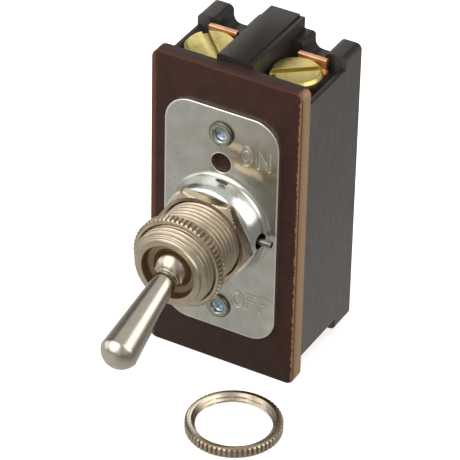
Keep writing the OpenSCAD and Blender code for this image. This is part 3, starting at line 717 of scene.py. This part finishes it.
# ---------------------------------------------------------------------------------------------
# Nuts. A thin hex nut with its front corners turned off seats on the dome. The ring nuts are
# turned rings with a straight knurl rolled between two bevelled edges; the second one is loose.
# ---------------------------------------------------------------------------------------------
def bore_profile(bore_r, lead, low_edge, high_edge):
    """Inside of a nut: a plain bore between two lead-in bevels, from the high face to the low."""
    return [(bore_r + lead, high_edge), (bore_r, high_edge - lead), (bore_r, low_edge + lead),
            (bore_r + lead, low_edge)]


low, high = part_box("hex_nut")
hex_low, hex_high = face_y - high.y, face_y - low.y
half_flats, spin = 13.3 * MM / 2, math.radians(-3)
corner_trim, cone_r, cone_slope, back_step = 0.12 * MM, 6.72 * MM, math.radians(30), 0.06 * MM
bore_r, lead = thread_r + 0.05 * MM, 0.25 * MM
turn = np.linspace(0, 2 * math.pi, 360, endpoint=False) + spin
hexed = half_flats / np.cos((turn - spin) % (math.pi / 3) - math.pi / 6)
hexed = np.minimum(hexed, half_flats / math.cos(math.pi / 6) - corner_trim)
levels = np.concatenate([[0], np.linspace(0.05, 1, 16)])[:, None] * (hex_high - hex_low)
levels = levels + hex_low
cone = cone_r + (hex_high - levels) / math.tan(cone_slope)
outer = np.minimum(hexed[None, :], cone)
outer[0] -= back_step
hex_points = about_axis(outer, levels, turn[None, :])
inner = np.array(bore_profile(bore_r, lead, hex_low, hex_high))
hex_points = np.concatenate([hex_points, about_axis(inner[:, :1], inner[:, 1:], turn[None, :])])


def brushed_nickel(tree):
    """Nickel with fine marks from turning, darker where the plating has dulled."""
    return nickel_colour(tree, tree.noise(1.3, 5).smooth(0.4, 0.85) * 0.3 + 0.12)


nickel_hex = surface(
    "nickel_nut", Metallic=1.0, Base_Color=brushed_nickel,
    Roughness=lambda t: t.noise(2.2, 4) * 0.14 + 0.16,
    Normal=lambda t: t.bump(t.noise(1.6, 3), 0.008))
hex_nut = wrapped_grid("nickel_hex_nut", hex_points, nickel_hex, True, 28)
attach(hex_nut, "hex_nut")
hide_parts("hex_nut")

teeth, groove = 60, 0.24 * MM


def knurled(outer_r, thick, turn):
    """Rings of a knurled nut as (radius, height): height runs from 0 to thick. Between the bevelled
    edges the radius drops in flat-bottomed grooves with sloping sides, one to each tooth."""
    heights = np.array([0, 0.05, 0.1, 0.15, 0.3, 0.5, 0.7, 0.85, 0.9, 0.95, 1])[:, None] * thick
    from_edge = np.minimum(heights, thick - heights)
    bevel = outer_r - np.clip(0.15 * thick - from_edge, 0, None) * 1.4
    wave = np.cos(turn * teeth)[None, :]
    dip = groove * np.clip(-0.1 - wave * 1.6, 0, 1)
    return np.minimum(bevel, outer_r - dip), heights + 0 * turn[None, :]


def knurl_grime(tree, middle, flat):
    """Grime at the bottom of the knurl's grooves, from the distance to the nut's own axis."""
    x, y, z = tree.axes()
    a, b = x - middle[0], (y if flat else z) - middle[1]
    r = (a * a + b * b).math("SQRT")
    return r.smooth(6.9, 6.74) * r.smooth(6.62, 6.7) * 0.5


def cut_thread(thick, turn):
    """Rings of an internal thread as (radius, height), from the upper face down. The ridges climb
    one pitch a turn, and a cone opens each end."""
    ridge_high, opening = 0.46 * MM, 0.12 * MM
    heights = np.linspace(thick, 0, 30)[:, None]
    phase = (heights / pitch - turn[None, :] / (2 * math.pi)) % 1
    ridge = np.clip(1.15 - 2.3 * np.abs(phase - 0.5), 0, 1)
    cone = thread_r + opening - np.minimum(heights, thick - heights) * 1.2
    return np.maximum(thread_r - ridge_high * ridge, cone), heights + 0 * turn[None, :]


def ring_piece(name, node, body, middle, flat):
    """One knurled ring: on the thread it faces -Y, and flat on the table it faces +Z."""
    low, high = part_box(node)
    outer_r = (high.x - low.x) / 2
    thick = high.z - low.z if flat else high.y - low.y
    turn = np.linspace(0, 2 * math.pi, teeth * 16, endpoint=False)
    radius, rise = knurled(outer_r, thick, turn)
    inner = np.array(bore_profile(bore_r, lead, 0, thick))
    inner = cut_thread(thick, turn) if flat else (inner[:, :1] + 0 * turn, inner[:, 1:] + 0 * turn)
    radius, rise = np.concatenate([radius, inner[0]]), np.concatenate([rise, inner[1]])
    if flat:
        spots = np.stack([middle[0] + radius * np.cos(turn), middle[1] + radius * np.sin(turn),
                          low.z + rise], -1)
    else:
        spots = about_axis(radius, face_y - high.y + rise, turn[None, :])
    centre = (middle[0] / MM, middle[1] / MM)

    def ring_colour(tree):
        """Nickel with grime in the knurl, and on the loose ring the left of its top face painted
        brighter as a painted highlight.
        """
        tint = nickel_colour(tree, knurl_grime(tree, centre, flat))
        if not flat:
            return tint
        # The loose ring's top face is painted brighter on its left: a painted highlight.
        normal = tree.node("ShaderNodeTexCoord", take=1)
        up = tree.node("ShaderNodeSeparateXYZ", take=2, Vector=normal)
        left = tree.axes()[0].smooth(centre[0] - 1, centre[0] - 5)
        return tree.mix(up.smooth(0.9, 0.98) * left, tint, srgb(255, 248, 228))

    finish = surface(
        name + "_nickel", Metallic=1.0, Base_Color=ring_colour,
        Roughness=lambda t: t.noise(2.2, 4) * 0.16 + 0.19)
    piece = wrapped_grid(name, spots, finish, True, 38)
    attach(piece, body)
    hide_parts(node)


ring_piece("nickel_ring_nut", "ring_nut", "ring_nut", (0, 0), False)
low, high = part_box("spare_ring_nut")
loose_middle = ((low.x + high.x) / 2, (low.y + high.y) / 2)
ring_piece("nickel_spare_ring", "spare_ring_nut", "switch", loose_middle, True)

# ---------------------------------------------------------------------------------------------
# Lever. Turned in one piece and satin nickel plated: a bat that swells towards its domed tip, a
# narrow collar, the ball that swings in the bushing, and the tail that moves the carrier.
# ---------------------------------------------------------------------------------------------
lean = math.radians(throw["range_deg"][1] / 2)
ball_r, bat_r, crown, length = 3.0 * MM, 2.75 * MM, 16.1 * MM, 18.2 * MM
crown_r = (bat_r ** 2 + (length - crown) ** 2) / (2 * (length - crown))
tail_at, tail_r, collar_at, collar_r = -6 * MM, 1 * MM, 2.27 * MM, 0.17 * MM
outline = [(0.02 * MM, tail_at - tail_r)]
outline += arc((0, tail_at), tail_r, -80, 35, 10)  # tip of the tail
outline += [(0.78 * MM, -5.0 * MM), (1.4 * MM, -2.65 * MM)]
outline += arc((0, 0), ball_r, -60, 44, 26)
outline += arc((1.60 * MM, collar_at), collar_r, -50, 85, 7)
# The neck flares by a quarter of an ellipse, and a straight taper leads to the tip's rim.
outline += [((1.42 + 0.30 * math.sin(a)) * MM, (2.47 + 1.33 * (1 - math.cos(a))) * MM)
            for a in np.linspace(0, math.pi / 2, 9)]
outline += [(bat_r - 0.05 * MM, crown - 0.4 * MM), (bat_r - 0.015 * MM, crown - 0.12 * MM),
            (bat_r - 0.01 * MM, crown + 0.02 * MM)]
cap = math.degrees(math.asin((crown - (length - crown_r)) / crown_r))
outline += arc((0, length - crown_r), crown_r, cap + 1.5, 89.5, 16)
outline = np.array(outline)
turn = np.linspace(0, 2 * math.pi, 128, endpoint=False)[None, :]
r, s = outline[:, :1], outline[:, 1:]
side, over = r * np.cos(turn), r * np.sin(turn)
ahead = pivot + s * math.cos(lean) + over * math.sin(lean)
rise = over * math.cos(lean) - s * math.sin(lean)
lever_points = np.stack(np.broadcast_arrays(side, face_y - ahead, rise), -1)


def lever_colour(tree):
    """Even satin nickel with a slight warm cloud, painted browner inside the bushing's mouth as a
    painted reflection of the mouth's brown walls.
    """
    y, rim_y = tree.axes()[1], (face_y - mouth) / MM
    tint = tree.mix(tree.noise(0.4, 4).smooth(0.3, 0.7), srgb(212, 204, 190), srgb(202, 193, 178))
    # Inside the mouth the ball is painted browner: a painted reflection of the brown bore.
    sunk = y.smooth(rim_y - 0.5, rim_y + 0.6)
    return tree.mix(sunk * 0.25, tint, srgb(140, 108, 72))


satin = surface(
    "satin_nickel", Metallic=1.0, Base_Color=lever_colour,
    Roughness=lambda t: t.noise(1.5, 4) * 0.08 + 0.17,
    Normal=lambda t: t.bump(t.noise(6, 3), 0.004))
lever = wrapped_grid("nickel_lever", lever_points, satin, False, 26)
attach(lever, "lever")
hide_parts("toggle_lever")

# ---------------------------------------------------------------------------------------------
# Pivot pin. Bright drawn steel wire, cut to length, its ends standing out of the dome's sides.
# ---------------------------------------------------------------------------------------------
bright_steel = surface(
    "bright_steel", Metallic=1.0,
    Base_Color=lambda t: t.mix(t.noise(2, 4).smooth(0.35, 0.7), srgb(166, 162, 154),
                               srgb(104, 100, 92)),
    Roughness=lambda t: t.noise(3, 4) * 0.2 + 0.26, Normal=lambda t: t.bump(t.noise(8, 3), 0.01))
pin = eased("steel_pivot_pin", "pivot_pin", 0.08 * MM, bright_steel)
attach(pin, "switch")
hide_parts("pivot_pin")

# ---------------------------------------------------------------------------------------------
# Housing. Compression-moulded black phenolic: semi-gloss, with faint flow streaks down its sides
# and softly rounded edges.
# ---------------------------------------------------------------------------------------------
def bakelite_colour(tree):
    """Brown-black with faint upright streaks and small pale fillers; upward faces are painted
    darker as painted shade, and so are the terminal bays."""
    streak = tree.noise(1.6, 4, (1, 1, 0.12)).smooth(0.35, 0.75)
    up = tree.node("ShaderNodeSeparateXYZ", take=2, Vector=tree.node("ShaderNodeTexCoord", take=1))
    base = tree.mix(streak, srgb(69, 65, 62), srgb(79, 74, 71))
    # Upward faces painted darker: painted shade under the overhead light.
    base = tree.mix(up.smooth(0.2, 0.8), base, srgb(27, 23, 20))
    x, _, z = tree.axes()
    # The terminal bays painted darker: painted shade in the recesses.
    bay = x.math("ABSOLUTE").smooth(10.2, 9.7) * z.math("ABSOLUTE").smooth(18.5, 20)
    base = tree.mix(bay * 0.7, base, srgb(28, 22, 16))
    return tree.mix(tree.noise(7, 2).smooth(0.66, 0.78) * 0.4, base, srgb(84, 78, 73))


bakelite = surface(
    "black_phenolic", Base_Color=bakelite_colour, Specular_IOR_Level=0.4,
    Roughness=lambda t: t.noise(1.2, 4, (1, 1, 0.3)) * 0.16 + 0.3,
    Normal=lambda t: t.bump(t.noise(2.4, 4, (1, 1, 0.35)), 0.012))
housing = eased("phenolic_housing", "housing", 0.16 * MM, bakelite)
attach(housing, "switch")
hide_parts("housing")

# ---------------------------------------------------------------------------------------------
# Terminals. Binding-head screws turned from plain brass clamp the wires on bent copper straps,
# each with an upturned end that stops the wire.
# ---------------------------------------------------------------------------------------------
def screw_finish(name, centre):
    """Pale brass with fine rings from turning about the screw's own axis."""
    def rings(tree):
        """sin(34 r) of the distance r from the axis in millimetres, a little uneven."""
        x, y, _ = tree.axes()
        u, v = x - centre[0], y - centre[1]
        r = (u * u + v * v).math("SQRT")
        return ((r + tree.noise(1.0, 2) * 0.05) * 34).math("SINE")

    def colour(tree):
        """Brass with duller clouds, and the rings' crests brighter."""
        tarnish = tree.noise(0.7, 5).smooth(0.45, 0.8)
        tint = tree.mix(tarnish, srgb(210, 194, 122), srgb(182, 162, 90))
        return tree.mix(rings(tree).smooth(0.2, 1) * 0.18, tint, srgb(236, 226, 170))

    return surface(
        name, Metallic=1.0, Base_Color=colour, Roughness=lambda t: t.noise(2, 4) * 0.14 + 0.25,
        Normal=lambda t: t.bump(rings(t), 0.004))


def copper_colour(tree):
    """Bright pinkish copper with browner clouds."""
    cloud = tree.noise(0.6, 5).smooth(0.3, 0.75)
    return tree.mix(cloud, srgb(244, 198, 158), srgb(226, 170, 128))


copper = surface(
    "bright_copper", Metallic=1.0, Base_Color=copper_colour,
    Roughness=lambda t: t.noise(2, 4) * 0.16 + 0.36, Normal=lambda t: t.bump(t.noise(3, 4), 0.012))
for end in ("top", "bottom"):
    for side in ("left", "right"):
        node = f"terminal_screw_{end}_{side}"
        low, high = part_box(node)
        middle = ((low.x + high.x) / 2 / MM, (low.y + high.y) / 2 / MM)
        brass = screw_finish(f"brass_{end}_{side}", middle)
        screw = eased(f"brass_screw_{end}_{side}", node, 0.07 * MM, brass)
        under = f"terminal_strap_{end}_{side}"
        strap = eased(f"copper_strap_{end}_{side}", under, 0.08 * MM, copper)
        for piece, made_from, slot in ((screw, node, "brass"), (strap, under, "copper")):
            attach(piece, "switch")
            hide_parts(made_from)

# ---------------------------------------------------------------------------------------------
# Contact mechanism, inside the housing: a brown phenolic carrier on the pivot pin, sprung copper
# bridge bars with silver tips, fixed silver buttons on the straps, and the detent leaf.
# ---------------------------------------------------------------------------------------------
brown_phenolic = surface(
    "brown_phenolic",
    Base_Color=lambda t: t.mix(t.noise(1, 5).smooth(0.3, 0.7), srgb(92, 60, 40), srgb(74, 47, 32)),
    Roughness=lambda t: t.noise(2, 3) * 0.15 + 0.4, Normal=lambda t: t.bump(t.noise(4, 4), 0.02))
silver = surface(
    "contact_silver", Metallic=1.0,
    Base_Color=lambda t: t.mix(t.noise(1.5, 4).smooth(0.3, 0.7), srgb(228, 228, 224),
                               srgb(206, 204, 198)),
    Roughness=lambda t: t.noise(4, 3) * 0.15 + 0.25)
spring_steel = surface(
    "spring_steel", Metallic=1.0,
    Base_Color=lambda t: t.mix(t.noise(1, 4).smooth(0.3, 0.7), srgb(176, 178, 180),
                               srgb(150, 152, 156)),
    Roughness=lambda t: t.noise(3, 3) * 0.15 + 0.25)
for words, finish in (("contact_carrier", brown_phenolic), ("bridge_bar", copper),
                      ("spring", spring_steel), ("_contact_", silver)):
    for node, piece in frame["nodes"].items():
        if words in node:
            piece.data.materials.clear()
            piece.data.materials.append(finish)
